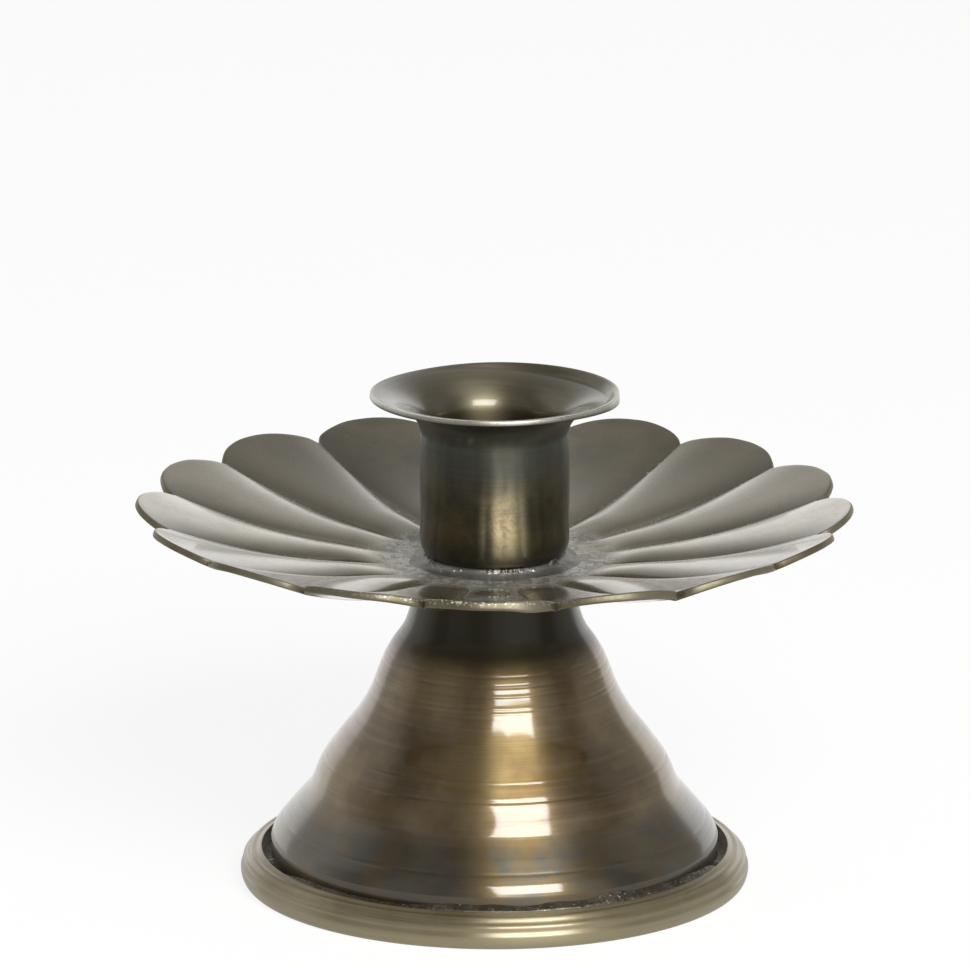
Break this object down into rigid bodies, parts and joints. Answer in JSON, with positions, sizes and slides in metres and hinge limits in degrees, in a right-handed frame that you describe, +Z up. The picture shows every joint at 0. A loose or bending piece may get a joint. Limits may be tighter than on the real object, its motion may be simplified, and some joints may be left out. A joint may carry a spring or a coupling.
{
  "type": "candlestick",
  "caption": "Low candlestick: a flared candle cup on a scalloped, fluted drip pan and a hollow turned cone with a grooved foot ring, in bronze-brown patinated iron.",
  "frame": {"origin": "centre of the foot ring's bottom face, on the table", "axes": "+Z up along the candle's axis, +X to the right of the picture's view, +Y away from its camera"},
  "size_m": [0.1172, 0.1172, 0.0824],
  "materials": {
    "cup_iron": "polished iron with a very dark olive-brown bronze patina, worn bright at the lip",
    "pan_iron": "pressed sheet iron, rubbed to a soft silver-grey sheen with olive-grey patina in the valleys",
    "cone_iron": "turned iron with fine tool rings, bronze-brown patina and golden rub-through",
    "ring_iron": "turned iron with grooves, olive-tan patina",
    "zinc_plated_steel": "zinc-plated steel, slightly dulled",
    "spring_steel": "dark tempered spring steel",
    "solder": "brushed grey solder with small bright beads"
  },
  "bodies": {
    "root": {"candle_cup": "cup_iron", "drip_pan": "pan_iron", "base_cone": "cone_iron", "foot_ring": "ring_iron", "clamp_screw": "zinc_plated_steel", "cup_washer": "zinc_plated_steel", "cone_washer": "zinc_plated_steel", "spring_washer": "spring_steel", "hex_nut": "zinc_plated_steel", "cup_solder": "solder", "neck_solder": "solder", "foot_solder": "solder"}
  },
  "joints": []
}
